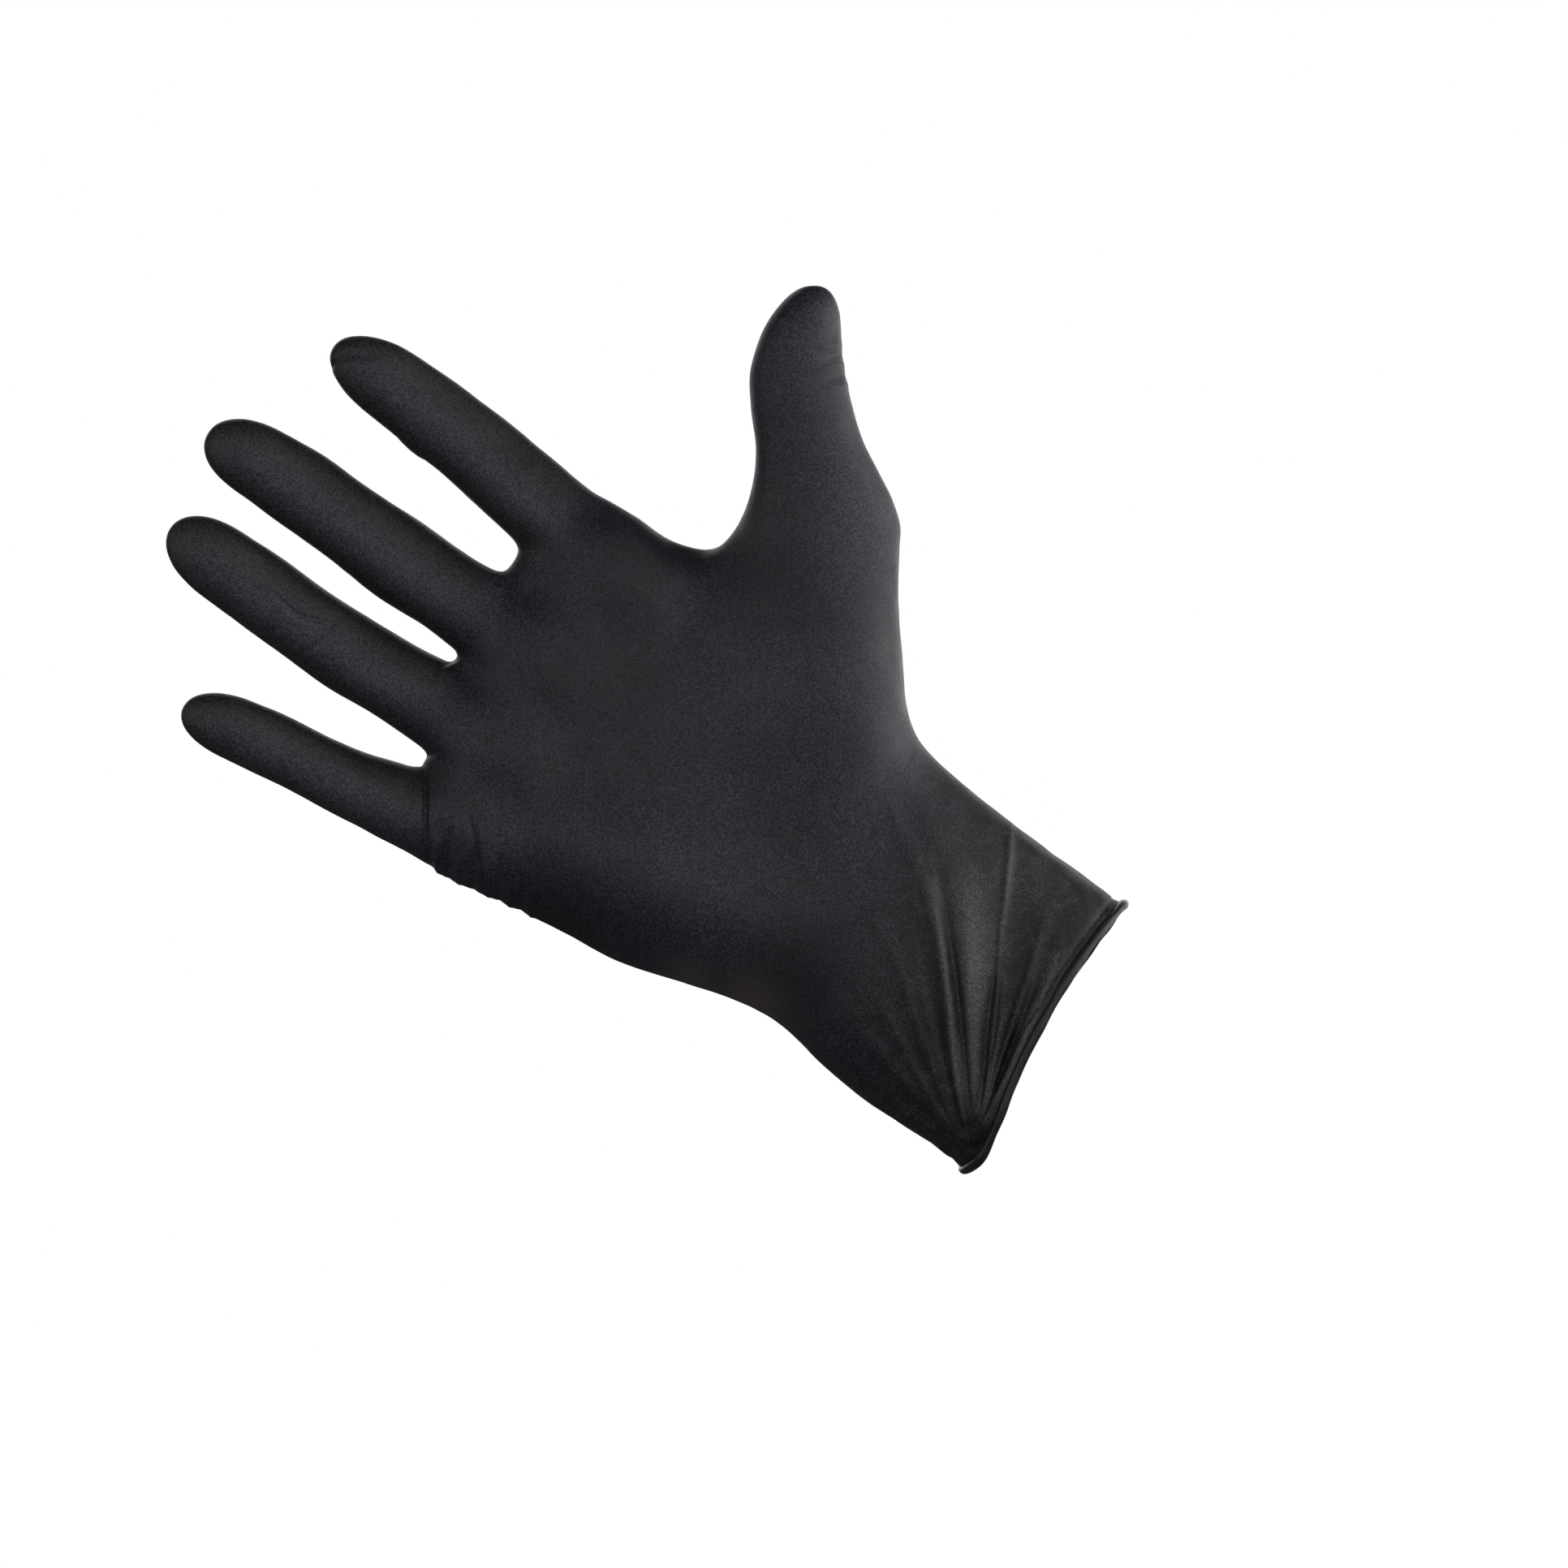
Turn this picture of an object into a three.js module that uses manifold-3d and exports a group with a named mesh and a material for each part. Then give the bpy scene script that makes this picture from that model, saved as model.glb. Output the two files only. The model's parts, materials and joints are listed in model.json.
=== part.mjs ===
// A disposable nitrile glove for a right hand, in the stretched shape that it has when it is worn.
// Millimetres. +Z runs from the wrist opening up to the fingertips, -Y out of the palm, and +X
// towards the thumb. The origin is the centre of the wrist opening, in the plane of its rim.
//
// The real glove is one dipped film. Here the film is cut into zones: those that stay put when the
// hand inside it flexes, those that swing about a knuckle, and the creases between them that
// stretch and buckle. Each zone is a thin shell, and the whole glove is hollow and open at the cuff.
import * as THREE from "three";
import { mergeVertices } from "three/addons/utils/BufferGeometryUtils.js";
import Module from "manifold-3d";

// Driving dimensions
const WALL = 0.12; // thickness of the film
const GAP = 0.3; // between two neighbouring zones of the film
const BEAD_RADIUS = 1.1; // rolled rim of the cuff
const SIDES = 12; // facets round a finger
const PALM_SIDES = 24; // facets round the palm
const REACH = 150; // half the size of a cutting block
const ROW_TILT = 7; // degrees that the row of knuckles rises towards the index finger
const ROW_FOLD = 40; // half the angle of the crease under the row of knuckles, in degrees
const THUMB_SEAM_X = 48; // the plane between the palm and the root of the thumb
const WRIST_Z = 46; // bottom of the wrist zone
const PALM_Z = 72; // bottom of the palm
const STALL_START = 9; // a finger stall starts this far above its web

// The sleeve of the wrist and palm: height, centre x, half breadth, front half depth, back half depth.
const SLEEVE = [
  { z: -6, x: 0, a: 34.5, front: 24, back: 23 },
  { z: 0, x: 0, a: 35, front: 24, back: 23 },
  { z: 20, x: -1, a: 36.5, front: 24, back: 23 },
  { z: 38, x: 0, a: 36, front: 23, back: 22 },
  { z: 50, x: 1.5, a: 35, front: 22, back: 21 },
  { z: 62, x: 2, a: 36.5, front: 22.5, back: 20 },
  { z: 75, x: 2.5, a: 40.5, front: 22.5, back: 18.5 },
  { z: 90, x: 1.5, a: 44.5, front: 20.5, back: 17.5 },
  { z: 112, x: 1, a: 47, front: 16.5, back: 17 },
  { z: 125, x: -1, a: 48, front: 15, back: 16.5 },
  { z: 140, x: -3.5, a: 47.5, front: 13.5, back: 15 },
  { z: 149, x: -4, a: 47, front: 12, back: 13.5 },
  { z: 156, x: -4, a: 45.5, front: 9.5, back: 11 },
  { z: 160, x: -4, a: 42.5, front: 5, back: 6.5 },
];
const SLEEVE_SQUARENESS = 2.5; // 2 is an ellipse, and more is nearer a rectangle

// Fingers: joint centres from the knuckle to the tip, and half breadth and half depth at each.
const FINGERS = {
  index: {
    path: [[31, 3, 139], [35, 1, 181], [36.7, -2.5, 204.5], [36, -7.5, 227.5]],
    half: [[10.6, 10.5], [9.9, 9.2], [9, 8], [8, 6.6]],
    web: 165,
  },
  middle: {
    path: [[4, 4, 141], [4.3, 2, 187], [4.3, -2, 215], [3, -7, 240]],
    half: [[10.6, 10.5], [10, 9.4], [9.1, 8.2], [8, 6.8]],
    web: 165,
  },
  ring: {
    path: [[-18.5, 4, 137], [-20.2, 2, 182], [-20.6, -2, 209], [-20, -7, 234.5]],
    half: [[10.4, 10.3], [9.5, 9], [8.9, 7.9], [7.9, 6.5]],
    web: 163,
  },
  little: {
    path: [[-40.5, 3, 132], [-46.2, 1, 167], [-49, -2, 187], [-52.5, -6.5, 208]],
    half: [[9.6, 9.3], [8.7, 8.1], [8, 7.2], [6.9, 6]],
    web: 155,
  },
};
const FINGER_FOLD = { proximal: 44, distal: 34 }; // half the angle of a finger's creases, in degrees

// Thumb: from its root inside the palm to the tip. It lies on its side, so it flexes about the Y axis.
const THUMB = {
  path: [[24, -3, 75], [68, -6, 110.5], [90, -9, 132], [111.5, -10, 143]],
  half: [[11, 15], [17, 14], [12.6, 11], [10, 9.5]],
};
const THUMB_ROOT_PIVOT = [59, -5, 99];
const THUMB_SWING_AXIS = [-0.3, -0.9, 0.3]; // carries the thumb towards the fingers and over the palm
const THUMB_FLEX_AXIS = [-0.1, -1, 0.1];
const THUMB_FOLD = { root: 43, tip: 33 }; // half the angle of a crease, in degrees
// The fleshy mound under the thumb, and the web between the thumb and the index finger.
const THUMB_MOUND = { centre: [40, -7, 90], half: [17, 17, 30], lean: -42 };
const THUMB_WEB = { centre: [50, -2, 112], half: [20, 8.5, 15], lean: -25 };

const wasm = await Module();
wasm.setup();
const vector = (p) => new THREE.Vector3(...p);
const radians = THREE.MathUtils.degToRad;

// A closed three.js geometry as a manifold-3d solid.
function solid(geometry, matrix = new THREE.Matrix4()) {
  const bare = geometry.clone().applyMatrix4(matrix);
  bare.deleteAttribute("normal");
  bare.deleteAttribute("uv");
  const merged = mergeVertices(bare, 1e-4);
  return new wasm.Manifold(
    new wasm.Mesh({
      numProp: 3,
      vertProperties: merged.attributes.position.array,
      triVerts: new Uint32Array(merged.index.array),
    }),
  );
}

// A manifold-3d solid as a three.js geometry.
function geometryOf(made) {
  const mesh = made.getMesh();
  return new THREE.BufferGeometry()
    .setAttribute("position", new THREE.BufferAttribute(mesh.vertProperties, 3))
    .setIndex(new THREE.BufferAttribute(mesh.triVerts, 1));
}

// A cylinder whose rings are moved to where place(ring, cos, sin) says. Ring 0 is at the bottom.
function shapedCylinder(sides, rings, place) {
  const geometry = new THREE.CylinderGeometry(1, 1, 1, sides, rings - 1);
  const at = geometry.attributes.position;
  for (let i = 0; i < at.count; i++) {
    const ring = Math.round((at.getY(i) + 0.5) * (rings - 1));
    const p = place(ring, at.getX(i), -at.getZ(i));
    at.setXYZ(i, p.x, p.y, p.z);
  }
  return solid(geometry);
}

// The sleeve, shrunk by inset all round. A negative dip lowers its lower end.
function sleeve(inset, dip) {
  return shapedCylinder(PALM_SIDES, SLEEVE.length, (ring, cos, sin) => {
    const s = SLEEVE[ring];
    const round = 2 / SLEEVE_SQUARENESS;
    const x = Math.sign(cos) * Math.abs(cos) ** round * (s.a - inset);
    const y = Math.sign(sin) * Math.abs(sin) ** round * ((sin < 0 ? s.front : s.back) - inset);
    const rise = x * Math.tan(radians(ROW_TILT)) * THREE.MathUtils.smoothstep(s.z, PALM_Z, 140);
    const end = ring === 0 ? dip : ring === SLEEVE.length - 1 ? -inset : 0;
    return new THREE.Vector3(s.x + x, y, s.z + rise + end);
  });
}

// A finger or the thumb as a tube of oval section with a round tip, shrunk by inset all round.
// across is the direction of its half breadth.
const LIMB_STOPS = [0, 0.18, 0.36, 0.5, 0.64, 0.76, 0.86, 0.92, 0.965, 0.99];
function limb({ path, half }, across, inset) {
  const curve = new THREE.CatmullRomCurve3(path.map(vector), false, "centripetal");
  const sizes = new THREE.CatmullRomCurve3(
    half.map(([a, b]) => new THREE.Vector3(a, b, 0)),
    false,
    "centripetal",
  );
  const round = 0.14; // the rounded share of the length
  const shorter = 1 - inset / curve.getLength();
  return shapedCylinder(SIDES, LIMB_STOPS.length, (ring, cos, sin) => {
    const t = LIMB_STOPS[ring];
    const centre = curve.getPointAt(t * shorter);
    const along = curve.getTangentAt(t * shorter);
    const side = across.clone().addScaledVector(along, -across.dot(along)).normalize();
    const normal = along.clone().cross(side);
    const cap = Math.sqrt(1 - Math.max(0, (t - 1 + round) / round) ** 2);
    const size = sizes.getPoint(t);
    return centre
      .addScaledVector(side, cos * (size.x - inset) * cap)
      .addScaledVector(normal, sin * (size.y - inset) * cap);
  });
}

// An ellipsoid that leans in the plane of the palm.
function mound({ centre, half, lean }, inset) {
  const [a, b, c] = half.map((h) => h - inset);
  const matrix = new THREE.Matrix4()
    .makeRotationY(-radians(lean))
    .scale(new THREE.Vector3(a, b, c))
    .setPosition(vector(centre));
  return solid(new THREE.SphereGeometry(1, SIDES, SIDES / 2), matrix);
}

// A joint's frame: the child side lies along, and the film creases on the side that closing points to.
function jointAt(pivot, axis, along, fold) {
  const turn = axis.clone().normalize();
  const out = along.clone().addScaledVector(turn, -along.dot(turn)).normalize();
  return { pivot: vector(pivot), axis: turn, along: out, closing: turn.clone().cross(out), fold };
}

// The block on the child side of a joint's plane, from `start` beyond it. With flip it is the parent side.
function beyond(joint, start, flip = false, halfWidth = REACH) {
  const out = joint.along.clone().multiplyScalar(flip ? -1 : 1);
  const matrix = new THREE.Matrix4()
    .makeBasis(joint.axis, out, joint.axis.clone().cross(out))
    .setPosition(joint.pivot.clone().addScaledVector(out, start + REACH / 2));
  return solid(new THREE.BoxGeometry(2 * halfWidth, REACH, 2 * REACH), matrix);
}

// The wedge on a joint's closing side. It opens from the hinge line, moved by `shift`.
function wedge(joint, shift) {
  const open = REACH * Math.tan(radians(joint.fold));
  const triangle = new THREE.Shape([
    new THREE.Vector2(shift, 0),
    new THREE.Vector2(shift + REACH, -open),
    new THREE.Vector2(shift + REACH, open),
  ]);
  const prism = new THREE.ExtrudeGeometry(triangle, { depth: 2 * REACH, bevelEnabled: false });
  prism.translate(0, 0, -REACH);
  const depth = joint.closing.clone().cross(joint.along);
  const matrix = new THREE.Matrix4()
    .makeBasis(joint.closing, joint.along, depth)
    .setPosition(joint.pivot);
  return solid(prism, matrix);
}

// The hinges of the fingers and the thumb
const rowAxis = new THREE.Vector3(1, 0, 0).applyAxisAngle(
  new THREE.Vector3(0, 1, 0),
  -radians(ROW_TILT),
);
const rowJoint = jointAt([-3, 2, 137.5], rowAxis, new THREE.Vector3(0, 0, 1), ROW_FOLD);
const crosswise = new THREE.Vector3(1, 0, 0);
const fingerJoints = {};
for (const [name, { path, web }] of Object.entries(FINGERS)) {
  const [knuckle, proximal, distal, tip] = path.map(vector);
  const lower = proximal.clone().sub(knuckle);
  const upper = tip.clone().sub(distal);
  const across = crosswise.clone().addScaledVector(lower, -crosswise.dot(lower) / lower.lengthSq());
  const share = (web + STALL_START - knuckle.z) / lower.z;
  const root = knuckle.clone().lerp(proximal, share).toArray();
  fingerJoints[name] = {
    root: jointAt(root, across, lower, 0),
    proximal: jointAt(path[1], across, lower, FINGER_FOLD.proximal),
    distal: jointAt(path[2], across, upper, FINGER_FOLD.distal),
  };
}
const thumbWay = THUMB.path.map(vector);
const thumbJoints = {
  root: jointAt(
    THUMB_ROOT_PIVOT,
    vector(THUMB_SWING_AXIS),
    thumbWay[1].clone().sub(thumbWay[0]),
    THUMB_FOLD.root,
  ),
  tip: jointAt(
    THUMB.path[2],
    vector(THUMB_FLEX_AXIS),
    thumbWay[3].clone().sub(thumbWay[1]),
    THUMB_FOLD.tip,
  ),
};

// The whole hand as one solid, shrunk by inset: the film is the outside less the inside.
const thumbAcross = new THREE.Vector3(1, 0, -1);
function hand(inset, dip) {
  let made = sleeve(inset, dip).add(limb(THUMB, thumbAcross, inset));
  for (const finger of Object.values(FINGERS)) made = made.add(limb(finger, crosswise, inset));
  return made.add(mound(THUMB_MOUND, inset)).add(mound(THUMB_WEB, inset));
}
const film = hand(0, 0).subtract(hand(WALL, -WALL));

// A block between two heights, and one between two places along X or Y
const block = (min, max) => {
  const low = vector(min);
  const high = vector(max);
  const size = high.clone().sub(low);
  const matrix = new THREE.Matrix4().setPosition(low.add(high).multiplyScalar(0.5));
  return solid(new THREE.BoxGeometry(...size.toArray()), matrix);
};
const between = (low, high) => block([-REACH, -REACH, low], [REACH, REACH, high]);

const FILM_COLOUR = 0x232326;
const filmMaterial = () =>
  new THREE.MeshStandardMaterial({ color: FILM_COLOUR, roughness: 0.55, metalness: 0 });
const glove = new THREE.Group();
function zone(name, made) {
  const bodies = made.decompose().sort((a, b) => b.volume() - a.volume());
  const mesh = new THREE.Mesh(geometryOf(bodies[0]), filmMaterial());
  mesh.name = name;
  glove.add(mesh);
}

// Cuff and wrist
const beadTop = BEAD_RADIUS + GAP;
zone("cuff_sleeve", film.intersect(between(beadTop, WRIST_Z)));
zone("wrist_sleeve", film.intersect(between(WRIST_Z + GAP, PALM_Z)));

// The rolled rim: a ring of round section along the sleeve's lower edge
function rolledRim() {
  const ring = new THREE.TorusGeometry(1, 0.5, 6, PALM_SIDES);
  const at = ring.attributes.position;
  const rim = SLEEVE[1];
  const round = 2 / SLEEVE_SQUARENESS;
  for (let i = 0; i < at.count; i++) {
    const angle = Math.atan2(at.getY(i), at.getX(i));
    const out = (Math.hypot(at.getX(i), at.getY(i)) - 1) * 2 * BEAD_RADIUS;
    const up = at.getZ(i) * 2 * BEAD_RADIUS;
    const cos = Math.cos(angle);
    const sin = Math.sin(angle);
    const depth = sin < 0 ? rim.front : rim.back;
    at.setXYZ(
      i,
      rim.x + Math.sign(cos) * Math.abs(cos) ** round * rim.a + cos * (out - WALL),
      Math.sign(sin) * Math.abs(sin) ** round * depth + sin * (out - WALL),
      up,
    );
  }
  return solid(ring);
}
zone("cuff_bead", rolledRim());

// Palm, back of the hand and the root of the thumb, all below the row of knuckles
const rowNotch = wedge(rowJoint, 0);
const thumbNotch = wedge(thumbJoints.root, 0);
const inboard = block([-REACH, -REACH, PALM_Z + GAP], [THUMB_SEAM_X - GAP, REACH, 2 * REACH]);
const outboard = block([THUMB_SEAM_X, -REACH, PALM_Z + GAP], [REACH, REACH, 2 * REACH]);
const palm = film.intersect(inboard).intersect(beyond(rowJoint, GAP / 2, true)).subtract(rowNotch);
const SIDE_SEAM_Y = 1; // the plane that parts the palm from the back of the hand
zone(
  "palm_front",
  palm.intersect(block([-REACH, -REACH, 0], [REACH, SIDE_SEAM_Y - GAP, 2 * REACH])),
);
zone("palm_back", palm.intersect(block([-REACH, SIDE_SEAM_Y, 0], [REACH, REACH, 2 * REACH])));
zone("row_crease", film.intersect(inboard).intersect(wedge(rowJoint, 2 * GAP)));

const thumbFilm = film.intersect(outboard);
zone(
  "thumb_root",
  thumbFilm.intersect(beyond(thumbJoints.root, GAP / 2, true)).subtract(thumbNotch),
);
zone("thumb_root_crease", thumbFilm.intersect(wedge(thumbJoints.root, 2 * GAP)));
zone(
  "thumb_stall",
  thumbFilm
    .intersect(beyond(thumbJoints.root, GAP / 2))
    .subtract(thumbNotch)
    .intersect(beyond(thumbJoints.tip, GAP / 2, true))
    .subtract(wedge(thumbJoints.tip, 0)),
);
zone("thumb_tip_crease", thumbFilm.intersect(wedge(thumbJoints.tip, 2 * GAP)));
zone(
  "thumb_tip",
  thumbFilm.intersect(beyond(thumbJoints.tip, GAP / 2)).subtract(wedge(thumbJoints.tip, 0)),
);

// The webs between the fingers, above the row of knuckles
const STALL_HALF_WIDTH = 12.5;
let webs = film.intersect(inboard).intersect(beyond(rowJoint, GAP / 2)).subtract(rowNotch);
for (const joints of Object.values(fingerJoints))
  webs = webs.subtract(beyond(joints.root, -GAP, false, STALL_HALF_WIDTH));
zone("finger_webs", webs);

// Each finger: a stall above its web, a middle part and a tip, with a crease at each joint
for (const [name, finger] of Object.entries(FINGERS)) {
  const { root, proximal, distal } = fingerJoints[name];
  const stall = limb(finger, crosswise, 0)
    .subtract(limb(finger, crosswise, WALL))
    .intersect(beyond(root, 0));
  const lowNotch = wedge(proximal, 0);
  const highNotch = wedge(distal, 0);
  zone(
    name + "_stall",
    stall.intersect(beyond(proximal, GAP / 2, true)).subtract(lowNotch),
  );
  zone(name + "_knuckle_crease", stall.intersect(wedge(proximal, 2 * GAP)));
  zone(
    name + "_middle",
    stall
      .intersect(beyond(proximal, GAP / 2))
      .subtract(lowNotch)
      .intersect(beyond(distal, GAP / 2, true))
      .subtract(highNotch),
  );
  zone(name + "_tip_crease", stall.intersect(wedge(distal, 2 * GAP)));
  zone(name + "_tip", stall.intersect(beyond(distal, GAP / 2)).subtract(highNotch));
}

export default glove;
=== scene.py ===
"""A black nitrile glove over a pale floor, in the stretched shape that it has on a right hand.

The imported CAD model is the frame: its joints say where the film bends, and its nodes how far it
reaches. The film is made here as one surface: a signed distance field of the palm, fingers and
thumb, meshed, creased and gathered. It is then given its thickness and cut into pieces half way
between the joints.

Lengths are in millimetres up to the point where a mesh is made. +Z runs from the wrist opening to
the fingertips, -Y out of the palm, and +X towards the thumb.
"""

import json
import math

import bmesh
import bpy
import numpy as np
import openvdb
from mathutils import Matrix, Vector, noise


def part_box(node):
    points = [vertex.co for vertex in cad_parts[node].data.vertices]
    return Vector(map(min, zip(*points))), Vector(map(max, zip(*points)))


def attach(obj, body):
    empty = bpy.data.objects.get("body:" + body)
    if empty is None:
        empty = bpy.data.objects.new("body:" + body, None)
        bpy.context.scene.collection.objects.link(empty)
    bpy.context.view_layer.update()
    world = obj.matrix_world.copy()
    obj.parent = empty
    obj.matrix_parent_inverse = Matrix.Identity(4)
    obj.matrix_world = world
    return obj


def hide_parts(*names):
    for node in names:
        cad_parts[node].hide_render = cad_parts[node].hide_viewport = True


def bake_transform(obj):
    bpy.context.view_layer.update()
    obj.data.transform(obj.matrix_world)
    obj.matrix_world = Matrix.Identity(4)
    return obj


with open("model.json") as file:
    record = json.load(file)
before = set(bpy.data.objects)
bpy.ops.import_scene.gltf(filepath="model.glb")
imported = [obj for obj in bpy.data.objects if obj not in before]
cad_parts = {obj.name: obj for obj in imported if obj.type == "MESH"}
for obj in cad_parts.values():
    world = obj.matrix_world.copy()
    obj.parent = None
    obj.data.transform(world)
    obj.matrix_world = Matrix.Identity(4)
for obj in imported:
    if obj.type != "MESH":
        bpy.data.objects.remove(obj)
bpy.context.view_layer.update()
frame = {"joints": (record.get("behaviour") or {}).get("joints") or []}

MM = 0.001
VOXEL = 0.75  # cell of the distance field
FAR = 26.0  # the field's value well outside the glove, more than any softness below
FILM = 0.12  # thickness of the film
BEAD_RADIUS = 0.95  # rolled rim
BEAD_TALL = 1.15  # its height over its width
BEAD_OUT = 0.35  # how far its middle stands off the film's edge
BEAD_UNEVEN, BEAD_WAVE = 0.28, 0.16  # how uneven it is, and how many waves to a millimetre
RIM_SIDES = 12
RIM_ROUNDS = 6  # of smoothing along it
COARSE_ROUNDS, FINE_ROUNDS = 4, 2  # of smoothing before and after the mesh is refined

JOINTS = {joint["name"]: joint for joint in frame["joints"]}
FINGERS = ("index", "middle", "ring", "little")


def pivot(name):
    """Where a joint is, in millimetres."""
    return np.array(JOINTS[name]["pos_m"]) / MM


def top_of(node):
    """The height of a CAD node's highest point, in millimetres."""
    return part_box(node)[1].z / MM


# --- The shape of the hand in the glove --------------------------------------------------------

# Sections of the sleeve and palm, and of each finger: height, left edge, right edge, front, back.
SLEEVE = [
    (-8, -36, 35.2, -24, 23),
    (0, -36, 35.2, -24, 23),
    (20, -36.5, 35.6, -23.8, 22.8),
    (38, -35.9, 36.1, -23, 22),
    (50, -33.9, 36.9, -22, 21),
    (62, -34.6, 38.5, -21.5, 20),
    (75, -38.0, 41.0, -20, 18.5),
    (90, -43.0, 43.5, -17.5, 17.5),
    (105, -45.2, 45.5, -15.5, 17),
    (120, -47.6, 46.3, -14, 16.5),
    (132, -49.6, 45.2, -13, 16),
    (142, -50, 43.2, -12, 15),
    (152, -50.5, 42.5, -10.5, 13),
    (162, -51, 42, -9.5, 11),
]
PALM_SLOPE = 0.2  # the edge of the palm rises this much for each millimetre towards the thumb
PALM_TOP = 160.5
FINGER_SECTIONS = {
    "index": [
        (136, 22.0, 44.2, -8.5, 13.5),
        (160, 22.2, 43.2, -8.5, 11.8),
        (171, 23.8, 44.1, -8.6, 10.8),
        (181, 25.2, 45.0, -8.3, 10.6),
        (191, 26.5, 45.4, -9.3, 8.8),
        (204, 27.4, 45.7, -10.8, 5.8),
        (214, 28.0, 45.2, -12.6, 2.2),
        (228, 28.6, 43.6, -14.6, -1.4),
    ],
    "middle": [
        (138, -6.0, 15.0, -8.5, 14),
        (164, -5.6, 15.2, -8.3, 12.4),
        (173, -5.3, 14.3, -7.9, 11.6),
        (187, -5.9, 14.4, -7.6, 11.4),
        (201, -5.0, 13.8, -9.0, 8.4),
        (215, -4.9, 14.0, -10.6, 6.2),
        (227, -4.7, 12.8, -13.2, 1.8),
        (240, -5.6, 11.8, -15.0, -1.6),
    ],
    "ring": [
        (134, -29.2, -8.2, -8.3, 13.5),
        (162, -28.9, -8.7, -8.1, 12),
        (171, -29.0, -10.0, -8.0, 11.3),
        (183, -30.0, -10.9, -7.4, 11),
        (196, -29.8, -11.5, -8.9, 8.8),
        (209, -29.5, -11.2, -10.4, 6),
        (220, -29.1, -11.5, -12.6, 2),
        (234.5, -29.0, -11.2, -14.6, -1.6),
    ],
    "little": [
        (128, -50.2, -31.5, -7.2, 12.5),
        (145, -50.9, -32.4, -7.4, 11.6),
        (157, -52.4, -34.0, -7.3, 10.4),
        (168, -53.8, -37.6, -7.1, 9.2),
        (178, -54.9, -39.5, -7.9, 7.4),
        (188, -56.6, -40.9, -9.2, 5.2),
        (196, -57.7, -42.6, -10.8, 2.6),
        (208, -59.7, -44.6, -12.6, -0.8),
    ],
}
FINGER_CAP = {"index": 14, "middle": 14, "ring": 15, "little": 13.5}  # height of the rounded tip

# The thumb has its own axes: along it, across it towards its outer side, and deep.
# Sections: place along it from its root, inner edge, outer edge, front, back.
THUMB_ALONG = np.array([0.801, 0.0, 0.5985])
THUMB_ACROSS = np.array([0.5985, 0.0, -0.801])
THUMB_SECTIONS = [
    (-52, -6, 8, -16, 12),
    (-34, -9, 12.2, -20, 12),
    (-20, -12, 13.2, -21.5, 10),
    (0, -16, 13.1, -19, 7.8),
    (7, -17.6, 13.7, -18.4, 6.8),
    (12.5, -18.6, 14.2, -18.2, 6.0),
    (18, -18.9, 12.8, -18.4, 4.9),
    (25, -18.9, 9.6, -18.8, 3.6),
    (33, -18.9, 5.9, -19.4, 2.6),
    (41, -19.7, 3.7, -19.9, 1.6),
    (50, -19.4, 2.1, -19.9, 0.6),
    (57, -17.1, 1.7, -19.4, -0.4),
    (63.5, -13.8, 1.9, -18.6, -1.8),
    (68.8, -10.8, 1.9, -17.6, -3.0),
]
THUMB_CAP = 12
THUMB_LEAN = 0.14  # its crest turns inwards by this much for each millimetre of depth

# How square each section is (2 is an ellipse), and how square its rounded end is
PALM_SQUARE, PALM_END_SQUARE = 2.25, 2.0
FINGER_SQUARE, FINGER_END_SQUARE = 2.15, 2.1
THUMB_SQUARE, THUMB_END_SQUARE = 2.1, 2.7
PALM_END = 16  # height of the palm's rounded upper end
FINGER_FOOT, THUMB_FOOT = 12, 14  # over this length each tube closes inside the palm
PALM_SOFT, FINGER_SOFT, THUMB_SOFT = 1, 3.5, 6  # how softly each joins what is there

# The grid, and the parts of it that hold the palm, the thumb and each finger: low and high corner
GRID = ((-68, -36, -10), (124, 34, 250))
PALM_WINDOW = ((-68, -36, -10), (64, 34, 176))
THUMB_WINDOW = ((0, -34, 40), (124, 24, 160))
FINGER_MARGINS = ((8, 26, 2), (8, 24, 9))
MOUND_MARGIN = 4

# Flesh: centre, half sizes, lean in the plane of the palm in degrees, and how softly it joins
MOUNDS = {
    "thumb": ((30, -7, 88), (15.5, 13.6, 31), 36, 14),
    "outer_palm": ((-21, -6, 90), (13, 12.4, 33), -10, 13),
    "index_pad": ((31, -5, 141), (9, 6.4, 13), 0, 9),
    "middle_pad": ((5, -5, 144), (9, 6.4, 12), 0, 9),
    "ring_pad": ((-18, -5, 141), (9, 6.2, 12), 0, 9),
    "little_pad": ((-37, -4.5, 133), (7, 5.8, 13), 0, 9),
    "index_knuckle": ((31, 7.2, 141), (8, 8.2, 13), 0, 7),
    "middle_knuckle": ((4.5, 7.6, 144), (8.5, 8.6, 13), 0, 7),
    "ring_knuckle": ((-18.5, 7.2, 140), (8, 8.2, 13), 0, 7),
    "little_knuckle": ((-38, 6, 132), (7.5, 7.4, 12), 0, 7),
}
# The web between the thumb and the index finger, and those between the fingers
THUMB_WEB = ((52, -2.5, 109), (13, 6.4, 15.5), 30, 15)
WEBS = {
    "ring_little": ((-31.6, 1.5, 143.9), (6, 6, 9.8), 0, 5),
    "middle_ring": ((-7.4, 1.8, 149.8), (5, 6, 11.2), 0, 4.5),
    "index_middle": ((19.2, 1.8, 153), (7, 6, 10.6), 0, 6),
}


def between(pair, share):
    """From the first of a pair to the second, by linear steps."""
    return pair[0] * (1 - share) + pair[1] * share


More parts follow.
